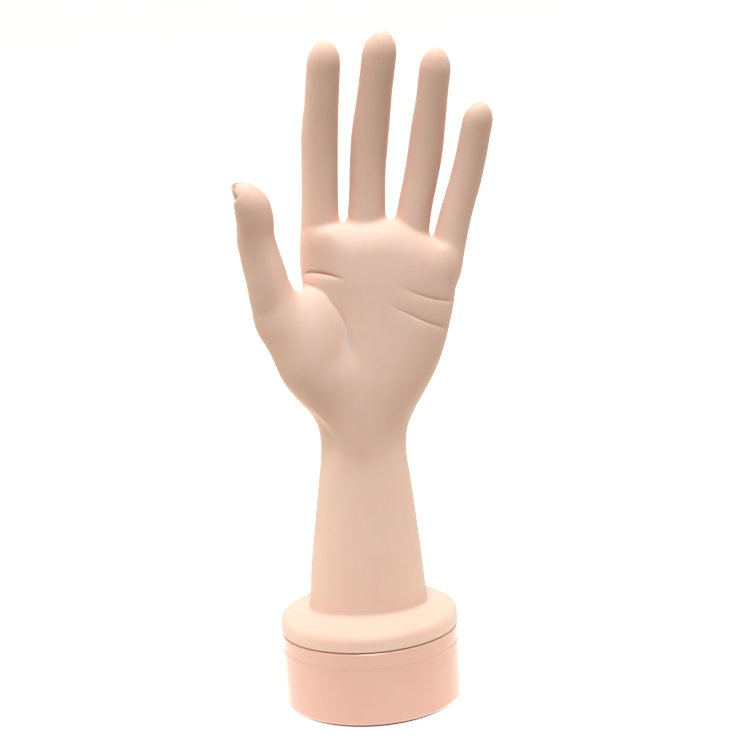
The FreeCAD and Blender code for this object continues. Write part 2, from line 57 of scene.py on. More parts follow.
PALM = [
    (116, [16.3] * 8), (124, [16.7] * 8),
    (132, [16.8, 16.9, 17.1, 17.4, 17.4, 17.1, 16.5, 15.6]),
    (140, [16.6, 17.0, 17.6, 18.0, 18.0, 17.3, 16.0, 14.8]),
    (148, [16.1, 16.8, 17.7, 18.2, 18.3, 17.6, 16.0, 14.4]),
    (156, [15.4, 16.3, 17.3, 18.0, 18.2, 17.7, 16.2, 14.4]),
    (164, [14.6, 15.5, 16.7, 17.5, 17.8, 17.4, 16.2, 14.4]),
    (172, [13.9, 14.8, 16.0, 16.9, 17.2, 17.0, 16.1, 14.4]),
    (180, [13.4, 14.2, 15.4, 16.3, 16.6, 16.5, 15.8, 14.4]),
    (188, [13.2, 13.9, 15.0, 15.8, 16.1, 16.0, 15.5, 14.3]),
    (196, [12.9, 13.7, 14.8, 15.2, 15.4, 15.3, 14.9, 14.0]),
    (204, [12.1, 13.0, 14.2, 14.4, 14.4, 14.1, 13.8, 13.0]),
    (212, [13.2, 13.3, 13.4, 13.5, 13.2, 12.8, 12.2, 11.3]),
    (220, [13.2, 12.9, 12.4, 12.3, 12.1, 11.5, 10.8, 10.0]),
]
TOP_Z, TOP_H, TOP_CUT = 206.0, 17.5, 219.6

# digits: root and end of the axis, roll, start and length of the rounded tip,
# of the rounded root, then s, cu, half width, cv, pad depth, back depth, roundness
DIGITS = {
    "index": ((-10.6, 1.5, 200), (-3.3, 1.5, 299.5), -8, (88.3, 10.9), (2, 12), [
        (-12, 0.2, 9.0, 0.6, 9.2, 9.6, 2.2), (8, -0.3, 8.8, 0.6, 9.0, 9.2, 2.2),
        (20, -0.7, 8.35, 0.1, 8.6, 8.6, 2.1), (32, -0.8, 8.0, -0.9, 8.3, 8.0, 2.1),
        (42, -0.9, 7.95, -2.2, 8.1, 7.8, 2.1), (50, -0.95, 7.95, -3.8, 7.8, 8.0, 2.1),
        (58, -0.9, 7.95, -5.8, 7.5, 7.7, 2.1), (65, -0.6, 7.75, -7.8, 7.2, 7.2, 2.1),
        (72, -0.1, 7.4, -9.9, 7.1, 6.6, 2.1), (80, 0.3, 7.3, -12.2, 7.0, 6.0, 2.15),
        (88, 0.75, 7.15, -14.6, 6.9, 5.2, 2.2), (100, 1.3, 7.0, -18.0, 6.6, 4.6, 2.2),
    ]),
    "middle": ((9.0, 1.7, 200), (22.5, 1.7, 302.5), -2, (91.0, 11.2), (2, 12), [
        (-12, 0.2, 9.4, 0.6, 9.4, 9.8, 2.2), (8, -0.4, 9.2, 0.6, 9.2, 9.4, 2.2),
        (20, -1.0, 8.5, 0.1, 8.8, 8.8, 2.1), (32, -1.4, 8.0, -0.8, 8.5, 8.2, 2.1),
        (42, -1.95, 7.95, -2.0, 8.3, 8.0, 2.1), (50, -2.0, 8.05, -3.5, 8.1, 8.2, 2.1),
        (59, -1.9, 8.05, -5.7, 7.7, 7.9, 2.1), (67, -1.55, 7.75, -8.0, 7.4, 7.4, 2.1),
        (76, -1.15, 7.4, -10.8, 7.1, 6.6, 2.1), (84, -0.75, 7.35, -13.2, 7.1, 6.0, 2.15),
        (91, -0.45, 7.3, -15.4, 6.9, 5.2, 2.2), (103, 0.4, 7.0, -18.9, 6.6, 4.6, 2.2),
    ]),
    "ring": ((27.5, 1.5, 200), (46.5, 1.5, 293.5), 4, (83.8, 10.8), (2, 12), [
        (-12, 0.4, 8.9, 0.6, 9.0, 9.4, 2.2), (6, 0.1, 8.5, 0.6, 8.8, 9.0, 2.2),
        (18, -0.3, 7.75, 0.1, 8.3, 8.4, 2.1), (28, -0.03, 7.5, -0.7, 8.0, 7.9, 2.1),
        (38, 0.55, 7.5, -1.8, 7.8, 7.6, 2.1), (46, 0.75, 7.55, -3.3, 7.6, 7.8, 2.1),
        (54, 0.65, 7.5, -5.2, 7.3, 7.6, 2.1), (61, 0.35, 7.3, -7.2, 7.0, 7.1, 2.1),
        (68, 0.2, 6.95, -9.3, 6.8, 6.4, 2.1), (76, -0.15, 6.7, -11.7, 6.8, 5.7, 2.15),
        (83, -0.5, 6.7, -13.9, 6.6, 5.0, 2.2), (95, -0.9, 6.5, -17.4, 6.3, 4.4, 2.2),
    ]),
    "little": ((44.5, 1.0, 195), (62.0, 1.0, 269.5), 10, (66.5, 9.6), (2, 12), [
        (-12, -0.6, 6.6, 0.4, 8.0, 8.4, 2.2), (6, -1.1, 7.4, 0.4, 8.2, 8.2, 2.2),
        (16, -0.9, 7.3, -0.1, 7.8, 7.6, 2.1), (26, -0.4, 7.05, -1.0, 7.3, 7.0, 2.1),
        (34, 0.3, 6.95, -2.2, 6.9, 6.7, 2.1), (41, 0.95, 6.85, -3.6, 6.7, 6.9, 2.1),
        (48, 1.25, 6.75, -5.2, 6.5, 6.7, 2.1), (54, 1.35, 6.65, -6.8, 6.3, 6.2, 2.1),
        (60, 1.2, 6.6, -8.6, 6.2, 5.5, 2.15), (66, 1.15, 6.5, -10.5, 6.0, 4.9, 2.2),
        (78, 1.4, 6.3, -14.0, 5.8, 4.3, 2.2),
    ]),
}
THUMB = ((-32.0, -9.0, 176.0), (-42.0, -18.5, 240.3), (55.9, 12.1), (4, 12), [
    (-12, 0, 8.4, 0, 12.0, 6.0, 2.1), (4, 0, 8.6, 0.0, 11.8, 7.8, 2.1),
    (14, 0, 9.3, 0, 11.4, 8.4, 2.1), (20, 0, 9.3, 0, 10.7, 8.0, 2.1),
    (25, 0, 9.2, 0, 10.2, 7.8, 2.1), (30, 0, 8.9, 0, 9.8, 7.9, 2.1),
    (36, -0.1, 8.7, 0, 9.2, 7.6, 2.1), (42, -0.5, 8.6, 0, 9.2, 7.2, 2.1),
    (46, -0.8, 8.7, -0.2, 9.9, 6.4, 2.1), (50, -1.2, 8.9, -0.35, 10.6, 5.1, 2.1),
    (55, -1.9, 8.8, -0.5, 10.6, 4.4, 2.15), (60, -2.8, 8.4, -0.6, 10.2, 4.1, 2.2),
    (66, -4.0, 7.8, -0.7, 9.4, 3.9, 2.2)])
THENAR = ((-4.0, -3.0, 126.0), (-34.0, -9.5, 184.0), (58, 14), (4, 14), [
    (-10, 0, 5, 0, 9, 4, 2.0), (8, 0, 6.8, 0, 11, 3.2, 2.0),
    (22, 0, 9.2, 0, 13, 4.6, 2.05), (36, 0, 12.9, 0, 14.2, 8.4, 2.1),
    (50, 0, 11.7, 0, 13.4, 7.8, 2.1), (62, 0, 10.2, 0, 12, 9.0, 2.1),
    (75, 0, 9.6, 0, 11, 8.8, 2.1)])
THENAR_PAD = ((-14.8, -7.2, 165.5), (15.0, 14.4, 27.8))
WEB = ((-32.0, -8.5, 182.0), (-14.0, -3.5, 185.0), 6.2, 7.2)
NAILS = {
    "index": (84.4, 96.6, 4.9, 6.8), "middle": (87.8, 100.3, 5.1, 7.0),
    "ring": (80.4, 92.6, 4.7, 6.6), "little": (63.0, 73.6, 4.1, 5.8),
    "thumb": (49.0, 67.4, 6.2, 9.2),
}
THUMB_NAIL_LINE = (2.3, 2.75)
NAIL_T = 0.75
KNUCKLES = (((-10.5, 5.7, 206), (7, 7.0, 10)), ((9.5, 6.0, 209), (7, 7.3, 10.5)),
            ((28.5, 5.6, 205.5), (6.6, 7.0, 10)), ((44.2, 4.5, 199.5), (5.6, 6.4, 9)))
# the palm's four flexion lines, in the XZ plane
LINES = {
    "A": [(-21.0, 198.2), (-18.8, 198.8), (-16.0, 199.1), (-13.0, 199.1), (-9.6, 198.7), (-6.3, 198.0), (-3.0, 197.0), (0.4, 195.6)],
    "B": [(-19.2, 194.9), (-14.9, 193.6), (-10.3, 191.2), (-7.9, 188.2), (-4.5, 183.1), (-2.1, 178.5),
          (-0.8, 174.0), (-0.1, 167.8), (-0.2, 159.5)],
    "C": [(20.4, 193.8), (24.3, 191.1), (29.6, 188.3), (34.9, 186.0), (39.4, 184.3), (44.4, 183.0), (50, 182)],
    "D": [(14.9, 186.7), (16.9, 185.0), (21.4, 182.1), (26.9, 179.3), (32.2, 176.1), (37.5, 173.4),
          (41.5, 171.4), (46, 169)],
}
R_FLANGE, Z_FLANGE = 40.4, 35.0
# flange section: straight rim, rounded shoulder, cone up to the forearm's foot
SHOULDER_Z, SHOULDER_R, FOOT = 42.0, 3.6, (26.0, 45.6)
SKIN = 3.0
DISC_R, DISC_Z0, DISC_Z1, MOUTH_R = 37.2, 36.3, 39.5, 34.5


# ============================================================ the field
def sstep(a, b, x):
    t = np.clip((x - a) / (b - a), 0, 1)
    return t * t * (3 - 2 * t)


def table_curve(xs, ys):
    """Cubic through a table, with parabolic slopes."""
    xs = np.asarray(xs, float)
    ys = np.asarray(ys, float)
    h = np.diff(xs)
    d = np.diff(ys) / h
    m = np.zeros(len(xs))
    for i in range(1, len(xs) - 1):
        m[i] = (d[i - 1] * h[i] + d[i] * h[i - 1]) / (h[i] + h[i - 1])
    m[0], m[-1] = d[0], d[-1]

    def f(x):
        x = np.clip(x, xs[0], xs[-1])
        i = np.clip(np.searchsorted(xs, x) - 1, 0, len(xs) - 2)
        t = (x - xs[i]) / h[i]
        t2 = t * t
        t3 = t2 * t
        return ((2 * t3 - 3 * t2 + 1) * ys[i] + (t3 - 2 * t2 + t) * h[i] * m[i]
                + (-2 * t3 + 3 * t2) * ys[i + 1] + (t3 - t2) * h[i] * m[i + 1])
    return f


def smin(a, b, k):
    h = np.maximum(k - np.abs(a - b), 0) / k
    return np.minimum(a, b) - h * h * k * 0.25


def smax(a, b, k):
    return -smin(-a, -b, k)


def axes(p0, p1, hint):
    p0, p1 = np.array(p0, float), np.array(p1, float)
    w = (p1 - p0) / np.linalg.norm(p1 - p0)
    v = np.array(hint, float)
    v -= w * (v @ w)
    v /= np.linalg.norm(v)
    return p0, np.cross(v, w), v, w


class Limb:
    """A rounded body through the sections of a table."""

    def __init__(self, p0, p1, hint, rows, tip, root, roll=0.0):
        self.p0, self.u, self.v, self.w = axes(p0, p1, hint)
        self.cr, self.sr = math.cos(math.radians(roll)), math.sin(math.radians(roll))
        r = np.array(rows, float)
        self.f = [table_curve(r[:, 0], r[:, k]) for k in range(1, 7)]
        self.tip, self.root = tip, root

    def local(self, P):
        """Section coordinates x, y (rolled), the station s and the section's row."""
        d = P - self.p0
        U, V, W = d @ self.u, d @ self.v, d @ self.w
        cu, a, cv, bf, bb, n = [f(W) for f in self.f]
        x, y = U - cu, V - cv
        return x * self.cr + y * self.sr, -x * self.sr + y * self.cr, W, (cu, a, cv, bf, bb, n)

    def world(self, x, y, s):
        cu, a, cv, bf, bb, n = [f(s) for f in self.f]
        X = cu + x * self.cr - y * self.sr
        Y = cv + x * self.sr + y * self.cr
        return self.p0 + X[..., None] * self.u + Y[..., None] * self.v + s[..., None] * self.w

    def __call__(self, P, inset=0.0):
        x, y, W, (cu, a, cv, bf, bb, n) = self.local(P)
        a, bf, bb = a - inset, bf - inset, bb - inset
        b = np.where(y > 0, bb, bf)
        ax, ay = np.abs(x) / a, np.abs(y) / b
        st, ht = self.tip[0], self.tip[1] - inset
        sb, hb = self.root[0], self.root[1] - inset
        az = np.where(W > st, (W - st) / ht, np.where(W < sb, (sb - W) / hb, 0.0))
        ih = np.where(W > st, 1 / ht, np.where(W < sb, 1 / hb, 0.0))
        e = 1e-9
        r = (np.power(ax + e, n) + np.power(ay + e, n)) ** (1 / n)
        rx = np.power((ax + e) / (r + e), n - 1) / a
        ry = np.power((ay + e) / (r + e), n - 1) / b
        q = np.sqrt(r * r + az * az)
        g = np.sqrt((r * rx) ** 2 + (r * ry) ** 2 + (az * ih) ** 2) / (q + e)
        return (q - 1) / np.maximum(g, 1e-3)


def egg(P, c, R, inset=0.0):
    d = P - np.array(c, float)
    R = np.array(R, float) - inset
    k0 = np.linalg.norm(d / R, axis=-1)
    k1 = np.linalg.norm(d / (R * R), axis=-1)
    return k0 * (k0 - 1) / np.maximum(k1, 1e-6)


def capsule(P, A, B, ra, rb):
    A, B = np.array(A, float), np.array(B, float)
    ab = B - A
    t = np.clip(((P - A) @ ab) / (ab @ ab), 0, 1)
    return np.linalg.norm(P - A - t[..., None] * ab, axis=-1) - (ra + (rb - ra) * t)


def poly_dist(x, z, pts):
    """Distance to a polyline, place along it 0..1, and side (+ on the left of travel)."""
    best = np.full(x.shape, 1e9)
    tt = np.zeros(x.shape)
    sd = np.zeros(x.shape)
    L = [0]
    for a, b in zip(pts[:-1], pts[1:]):
        L.append(L[-1] + math.hypot(b[0] - a[0], b[1] - a[1]))
    for i in range(len(pts) - 1):
        (ax, az), (bx, bz) = pts[i], pts[i + 1]
        ex, ez = bx - ax, bz - az
        t = np.clip(((x - ax) * ex + (z - az) * ez) / (ex * ex + ez * ez), 0, 1)
        dx, dz = x - ax - t * ex, z - az - t * ez
        d = np.hypot(dx, dz)
        s = np.sign(ex * dz - ez * dx)
        m = d < best
        best = np.where(m, d, best)
        tt = np.where(m, (L[i] + t * (L[i + 1] - L[i])) / L[-1], tt)
        sd = np.where(m, s * d, sd)
    return best, tt, sd


ARMF = [table_curve([r[0] for r in ARM], v) for v in (
    [(r[1] + r[2]) / 2 for r in ARM], [(r[2] - r[1]) / 2 for r in ARM],
    [-r[3] for r in ARM], [r[4] for r in ARM], [r[5] for r in ARM])]
PZ = [r[0] for r in PALM]
PV = np.array([r[1] for r in PALM], float)


def palm_depth(x, z):
    fx = np.clip((x - PALM_X[0]) / 10.0, 0, len(PALM_X) - 1 - 1e-6)
    fz = np.clip((z - PZ[0]) / 8.0, 0, len(PZ) - 1 - 1e-6)
    ix, iz = fx.astype(int), fz.astype(int)

    def w(t):
        return (-0.5 * t + t * t - 0.5 * t ** 3, 1 - 2.5 * t * t + 1.5 * t ** 3,
                0.5 * t + 2 * t * t - 1.5 * t ** 3, -0.5 * t * t + 0.5 * t ** 3)
    wx, wz = w(fx - ix), w(fz - iz)
    out = 0
    for a in range(4):
        for b in range(4):
            out = out + wx[a] * wz[b] * PV[np.clip(iz + b - 1, 0, len(PZ) - 1), np.clip(ix + a - 1, 0, len(PALM_X) - 1)]
    return out


def palm(P, inset=0.0):
    X, Y, Z = P[..., 0], P[..., 1], P[..., 2]
    cu, a, bf, bb, n = [f(Z) for f in ARMF]
    t = sstep(112, 122, Z)
    front = Y < 0
    b = np.where(front, bf * (1 - t) + palm_depth(X, Z) * t, bb) - inset
    a = a - inset
    nn = np.where(front, n - 0.15 * t, n)
    ax, ay = np.abs(X - cu) / a, np.abs(Y) / b
    e = 1e-9
    r = (np.power(ax + e, nn) + np.power(ay + e, nn)) ** (1 / nn)
    rx = np.power((ax + e) / (r + e), nn - 1) / a
    ry = np.power((ay + e) / (r + e), nn - 1) / b
    u = np.clip((X - 18) / 30, 0, 1)
    sh = 14.0 * u * u * (2 - u) - 2.8 * sstep(0.7, 1.0, u)
    zt = np.maximum(Z + sh - TOP_Z, 0) / (TOP_H - inset)
    # the top is squarer at the index finger's side and under the little finger
    p = 2.0 + 2.5 * sstep(2, -12, X) + 0.8 * sstep(34, 46, X)
    q = (np.power(r + e, p) + np.power(zt + e, p)) ** (1 / p)
    kr, kz = np.power((r + e) / q, p - 1), np.power((zt + e) / q, p - 1)
    g = np.sqrt((kr * rx) ** 2 + (kr * ry) ** 2 + (kz / TOP_H) ** 2)
    return smax((q - 1) / np.maximum(g, 1e-3), (Z + sh - TOP_CUT + inset) * 0.9, 4.0)


def relief(P):
    """Growth of the palm's skin round the flexion lines."""
    X, Y, Z = P[..., 0], P[..., 1], P[..., 2]
    out = np.zeros(X.shape)
    m = (Z > 150) & (Z < 212) & (Y < -3)
    if not m.any():
        return out
    x, z = X[m], Z[m]
    g = np.zeros(x.shape)
    # line: groove depth and width, valley depth, its reach above and below
    for k, (dep, w, low, uw, lw) in {"A": (0.80, 0.85, 0.55, 4.6, 2.6), "C": (0.34, 0.62, 0.30, 2.9, 2.2),
                                     "D": (0.36, 0.62, 0.34, 2.9, 2.2)}.items():
        d, t, s = poly_dist(x, z, LINES[k])
        if k == "A":
            f = 1 - sstep(0.45, 1.0, t)
        else:
            f = sstep(0.0, 0.45, t)
        f = f * np.exp(-np.maximum(d - 1, 0) ** 2 / 60.0)
        g -= f * (dep * np.exp(-(d / w) ** 2) + low * np.exp(-(d / np.where(s > 0, uw, lw)) ** 2))
    d, t, s = poly_dist(x, z, LINES["B"])
    f = 1 - sstep(0.5, 1.0, t)
    g -= f * 0.34 * np.exp(-(d / 0.75) ** 2)
    g += f * 0.25 * np.where(s < 0, np.exp(-(d / 3.5) ** 2), 0) * (1 - np.exp(-(d / 0.9) ** 2))
    out[m] = g * sstep(-4.0, -8.0, Y[m])
    return out


def flange(P):
    """Signed distance to the flange's turned section."""
    r = np.hypot(P[..., 0], P[..., 1])
    z = P[..., 2]
    s = math.atan2(FOOT[1] - SHOULDER_Z, R_FLANGE - FOOT[0])
    cz = SHOULDER_Z - (SHOULDER_R - SHOULDER_R * math.sin(s)) / math.cos(s)
    cx = R_FLANGE - SHOULDER_R
    side = r - R_FLANGE
    cone = (r - cx) * math.sin(s) + (z - cz) * math.cos(s) - SHOULDER_R
    dx, dz = r - cx, z - cz
    ang = np.arctan2(dz, dx)
    arc = np.hypot(dx, dz) - SHOULDER_R
    inarc = (dx > 0) & (ang > 0) & (ang < math.pi / 2 - s)
    return np.where(inarc, arc, np.maximum(side, cone))


HINT = {"thumb": (-0.975, 0.22, 0)}
FING = {k: Limb(d[0], d[1], (0, 1, 0), d[5], d[3], d[4], d[2]) for k, d in DIGITS.items()}
THUMB_L = Limb(THUMB[0], THUMB[1], HINT["thumb"], THUMB[4], THUMB[2], THUMB[3])
THENAR_L = Limb(THENAR[0], THENAR[1], (-0.80, 0.60, 0), THENAR[4], THENAR[2], THENAR[3])
ALL = dict(FING, thumb=THUMB_L)

NT = (0.0, 0.06, 0.16, 0.32, 0.55, 0.75, 0.88, 0.96, 1.0)
NK = (0.62, 0.82, 0.95, 1.0, 1.0, 0.99, 0.94, 0.82, 0.66)


def nail_frame(key, P):
    """Across, along 0..1 and height over the nail's upper face."""
    L = ALL[key]
    x, y, s, row = L.local(P)
    s0, s1, hw, rt = NAILS[key]
    t = (s - s0) / (s1 - s0)
    tc = np.clip(t, 0, 1)
    if key == "thumb":
        h = THUMB_NAIL_LINE[0] * (1 - tc) + THUMB_NAIL_LINE[1] * tc + 1.2 * tc * (1 - tc) - row[2]
    else:
        h = row[4] - 0.35 + 0.95 * tc - 0.35 * tc * tc
    drop = rt - np.sqrt(np.maximum(rt * rt - np.minimum(np.abs(x), rt * 0.98) ** 2, 0.01))
    half = hw * np.interp(tc, NT, NK)
    rim = np.maximum(np.abs(x) - half, np.maximum(s0 - s, s - s1))
    return x, t, y - (h - drop), rim


def nail_bed(d, P):
    """Sinks each nail's seat into the fingertip and raises the skin round it."""
    for key in NAILS:
        L = ALL[key]
        s0, s1, hw, rt = NAILS[key]
        c = L.world(np.array([0.0]), np.array([4.0]), np.array([(s0 + s1) / 2]))[0]
        m = np.linalg.norm(P - c, axis=-1) < 17
        if not m.any():
            continue
        x, t, up, rim = nail_frame(key, P[m])
        back = sstep(-4.0, -1.0, up)
        # fold of skin along the root and the sides, none past the free edge
        ridge = np.exp(-((rim - 0.75) / 0.85) ** 2) * back * (1 - sstep(0.62, 0.92, t))
        dd = d[m] - 0.34 * ridge
        seat = np.maximum(rim - 0.25, -(up + NAIL_T + 0.10))
        d[m] = smax(dd, -seat, 0.5)
    return d


def masses(P, inset=0.0):
    X, Y, Z = P[..., 0], P[..., 1], P[..., 2]
    d = palm(P, inset)
    tn = smin(THENAR_L(P, inset), egg(P, THENAR_PAD[0], THENAR_PAD[1], inset), 7)
    d = smin(d, tn, 1.3 + 5.5 * sstep(172, 152, Z) + 6.0 * sstep(-11, -16, Y) * sstep(174, 150, Z))
    web = capsule(P, WEB[0], WEB[1], WEB[2] - inset, WEB[3] - inset)
    d = smin(d, smin(THUMB_L(P, inset), web, 5), 2.5 + 4.5 * sstep(-8, -14, Y) * sstep(-35, -26, X))
    fs = None
    for g in FING.values():
        f = g(P, inset)
        fs = f if fs is None else smin(fs, f, 1.6)
    d = smin(d, fs, 1.8 + 1.6 * sstep(-2, 4, Y) + 3.4 * sstep(38, 48, X) * sstep(-4, -9, Y))
    return d


def hand(P):
    d = masses(P)
    for c, R in KNUCKLES:
        d = smin(d, egg(P, c, R), 4)
    d = d - relief(P)
    d = smin(d, flange(P), 1.0)
    return nail_bed(d, P)


def hollow(P):
    return masses(P, SKIN)


# ============================================================ meshing
def grid(parts):
    """Stations along one axis from (start, end, spacing) runs."""
    out = []
    for a, b, h in parts:
        n = max(1, int(round((b - a) / h)))
        out += [a + (b - a) * i / n for i in range(n)]
    return np.array(out + [parts[-1][1]])


def sample(fn, xs, ys, zs, block=4):
    """The field on a grid, worked out only near the surface."""
    nx, ny, nz = len(xs), len(ys), len(zs)
    F = np.empty((nx, ny, nz), np.float32)
    bx = [slice(i, min(i + block, nx)) for i in range(0, nx, block)]
    by = [slice(i, min(i + block, ny)) for i in range(0, ny, block)]
    bz = [slice(i, min(i + block, nz)) for i in range(0, nz, block)]
    cx = np.array([xs[s].mean() for s in bx])
    cy = np.array([ys[s].mean() for s in by])
    cz = np.array([zs[s].mean() for s in bz])
    C = np.stack(np.meshgrid(cx, cy, cz, indexing="ij"), -1)
    c = fn(C)
    rx = max(np.ptp(xs[s]) for s in bx) + np.diff(xs).max()
    ry = max(np.ptp(ys[s]) for s in by) + np.diff(ys).max()
    rz = np.array([np.ptp(zs[s]) for s in bz]) + np.diff(zs).max()
    rad = 0.5 * np.sqrt(rx * rx + ry * ry + rz * rz)[None, None, :]
    near = np.abs(c) < rad * 1.5 + 0.8
    idx, pts = [], []
    for i, j, k in np.argwhere(~near):
        F[bx[i], by[j], bz[k]] = 9.0 if c[i, j, k] > 0 else -9.0
    for i, j, k in np.argwhere(near):
        g = np.meshgrid(np.arange(bx[i].start, bx[i].stop), np.arange(by[j].start, by[j].stop),
                        np.arange(bz[k].start, bz[k].stop), indexing="ij")
        idx.append(np.stack([q.ravel() for q in g], 1))
    idx = np.concatenate(idx)
    for a in range(0, len(idx), 200000):
        q = idx[a:a + 200000]
        F[q[:, 0], q[:, 1], q[:, 2]] = fn(np.stack([xs[q[:, 0]], ys[q[:, 1]], zs[q[:, 2]]], 1))
    return F


def surface_nets(F, xs, ys, zs):
    S = F < 0
    nx, ny, nz = F.shape
    c = np.zeros((nx - 1, ny - 1, nz - 1), np.int8)
    corners = [(i, j, k) for i in (0, 1) for j in (0, 1) for k in (0, 1)]
    for i, j, k in corners:
        c += S[i:nx - 1 + i, j:ny - 1 + j, k:nz - 1 + k]
    act = (c > 0) & (c < 8)
    cells = np.argwhere(act)
    idx = np.full(act.shape, -1, np.int64)
    idx[act] = np.arange(len(cells))
    ci = cells.T
    acc = np.zeros((len(cells), 3))
    cnt = np.zeros(len(cells))
    G = (xs, ys, zs)
    for a in corners:
        for ax in range(3):
            if a[ax]:
                continue
            b = list(a)
            b[ax] = 1
            fa = F[ci[0] + a[0], ci[1] + a[1], ci[2] + a[2]]
            fb = F[ci[0] + b[0], ci[1] + b[1], ci[2] + b[2]]
            m = (fa < 0) != (fb < 0)
            t = np.where(m, fa / (fa - fb + 1e-30), 0)
            p = np.stack([G[q][ci[q] + a[q]] for q in range(3)], 1)
            step = G[ax][ci[ax] + 1] - G[ax][ci[ax]]
            p[:, ax] += t * step
            acc[m] += p[m]
            cnt[m] += 1
    V = acc / cnt[:, None]
    Q = []
    for ax in range(3):
        lo, hi = [slice(None)] * 3, [slice(None)] * 3
        lo[ax], hi[ax] = slice(0, -1), slice(1, None)
        A, B = S[tuple(lo)], S[tuple(hi)]
        e = np.argwhere(A != B)
        b, c_ = [(1, 2), (2, 0), (0, 1)][ax]
        ok = (e[:, b] > 0) & (e[:, c_] > 0) & (e[:, b] < F.shape[b] - 1) & (e[:, c_] < F.shape[c_] - 1)
        e = e[ok]
        inside = A[tuple(e.T)]

        def cell(db, dc):
            x = e.copy()
            x[:, b] -= db
            x[:, c_] -= dc
            return idx[tuple(x.T)]
        q = np.stack([cell(1, 1), cell(0, 1), cell(0, 0), cell(1, 0)], 1)
        q[~inside] = q[~inside][:, ::-1]
        Q.append(q)
    return V, np.concatenate(Q)


def project(fn, V, rounds=2, eps=0.05):
    E = np.eye(3) * eps
    for _ in range(rounds):
        f = fn(V)
        g = np.stack([fn(V + E[i]) - fn(V - E[i]) for i in range(3)], 1) / (2 * eps)
        n2 = np.maximum((g * g).sum(1), 0.05)
        st = -(f / n2)[:, None] * g
        l = np.linalg.norm(st, axis=1, keepdims=True)
        V = V + st * np.minimum(1, 0.6 / np.maximum(l, 1e-9))
    return V


def open_loop(Q, nv):
    """The border edges of an open mesh."""
    ed = np.concatenate([Q[:, [0, 1]], Q[:, [1, 2]], Q[:, [2, 3]], Q[:, [3, 0]]])
    key = ed[:, 0] * nv + ed[:, 1]
    rev = ed[:, 1] * nv + ed[:, 0]
    border = ed[~np.isin(key, rev)]
    return border


def zip_loops(lower, upper, PL, PU, flip):
    """Triangles between two rings of points sorted by angle."""
    tris = []
    na, nb = len(lower), len(upper)
    aa = [math.atan2(PL[i][1], PL[i][0]) for i in range(na)]
    bb = [math.atan2(PU[i][1], PU[i][0]) for i in range(nb)]
    i = j = 0

    def ang(lst, k, n):
        return lst[k % n] + 2 * math.pi * (k // n)
    while i < na or j < nb:
        ta = ang(aa, i + 1, na) if i < na else 1e9
        tb = ang(bb, j + 1, nb) if j < nb else 1e9
        if ta <= tb:
            t = (lower[i % na], lower[(i + 1) % na], upper[j % nb])
            i += 1
        else:
            t = (lower[i % na], upper[(j + 1) % nb], upper[j % nb])
            j += 1
        tris.append(t[::-1] if flip else t)
    return tris


def hand_mesh():
    h = 0.86
    xs = grid([(-55, 73, h)])
    ys = grid([(-43.5, 43.5, h)])
    zs = grid([(35.4, 51, h), (51, 60, 1.4), (60, 116, 2.0), (116, 126, 1.3), (126, 156, h * 1.2),
               (156, 213, h * 0.94), (213, 305.5, h * 1.12)])
    F = sample(hand, xs, ys, zs)
    V, Q = surface_nets(F, xs, ys, zs)
    V = project(hand, V)
    # inner face, coarser
    hi_ = 2.4
    x2, y2 = grid([(-52, 70, hi_)]), grid([(-36, 36, hi_)])
    z2 = grid([(39.62, 120, 3.2), (120, 303, hi_)])
    F2 = sample(hollow, x2, y2, z2)
    V2, Q2 = surface_nets(F2, x2, y2, z2)
    V2 = project(hollow, V2)
    V2[:, 2] = np.maximum(V2[:, 2], 39.62)
    verts = [tuple(p) for p in V]
    faces = [tuple(int(i) for i in q) for q in Q]
    base = len(verts)
    verts += [tuple(p) for p in V2]
    faces += [tuple(int(i) + base for i in q[::-1]) for q in Q2]

    def ring(r, z, n=220):
        k = len(verts)
        for i in range(n):
            a = -math.pi + 2 * math.pi * i / n
            verts.append((r * math.cos(a), r * math.sin(a), z))
        return list(range(k, k + n))

    def by_angle(ids):
        return sorted(ids, key=lambda i: math.atan2(verts[i][1], verts[i][0]))
    # rings downwards from the outer border and back up inside the mouth
    b_out = sorted({int(i) for e in open_loop(Q, len(V)) for i in e})
    top = by_angle(b_out)
    profile = [(R_FLANGE, 35.36), (R_FLANGE - 0.10, 35.12), (R_FLANGE - 0.38, 35.0), (MOUTH_R + 0.2, 35.0),
               (MOUTH_R, 35.2), (MOUTH_R, DISC_Z0 - 0.1), (DISC_R + 0.1, DISC_Z0 - 0.1),
               (DISC_R + 0.1, DISC_Z1 + 0.1)]
    rings = [ring(r, z) for r, z in profile]
    faces += zip_loops(rings[0], top, [verts[i] for i in rings[0]], [verts[i] for i in top], False)
    for a, b in zip(rings[:-1], rings[1:]):
        n = len(a)
        for i in range(n):
            faces.append((b[i], b[(i + 1) % n], a[(i + 1) % n], a[i]))
    b_in = sorted({int(i) for e in open_loop(Q2, len(V2)) for i in e})
    inner = by_angle([i + base for i in b_in])
    last = rings[-1]
    faces += zip_loops(inner, last, [verts[i] for i in inner], [verts[i] for i in last], False)
    return verts, faces


def add_mesh(name, verts, faces, smooth=True):
    me = bpy.data.meshes.new(name)
    me.from_pydata([(x / 1000, y / 1000, z / 1000) for x, y, z in verts], [], faces)
    me.update()
    if smooth:
        me.polygons.foreach_set("use_smooth", [True] * len(me.polygons))
    ob = bpy.data.objects.new(name, me)
    bpy.context.scene.collection.objects.link(ob)
    return ob


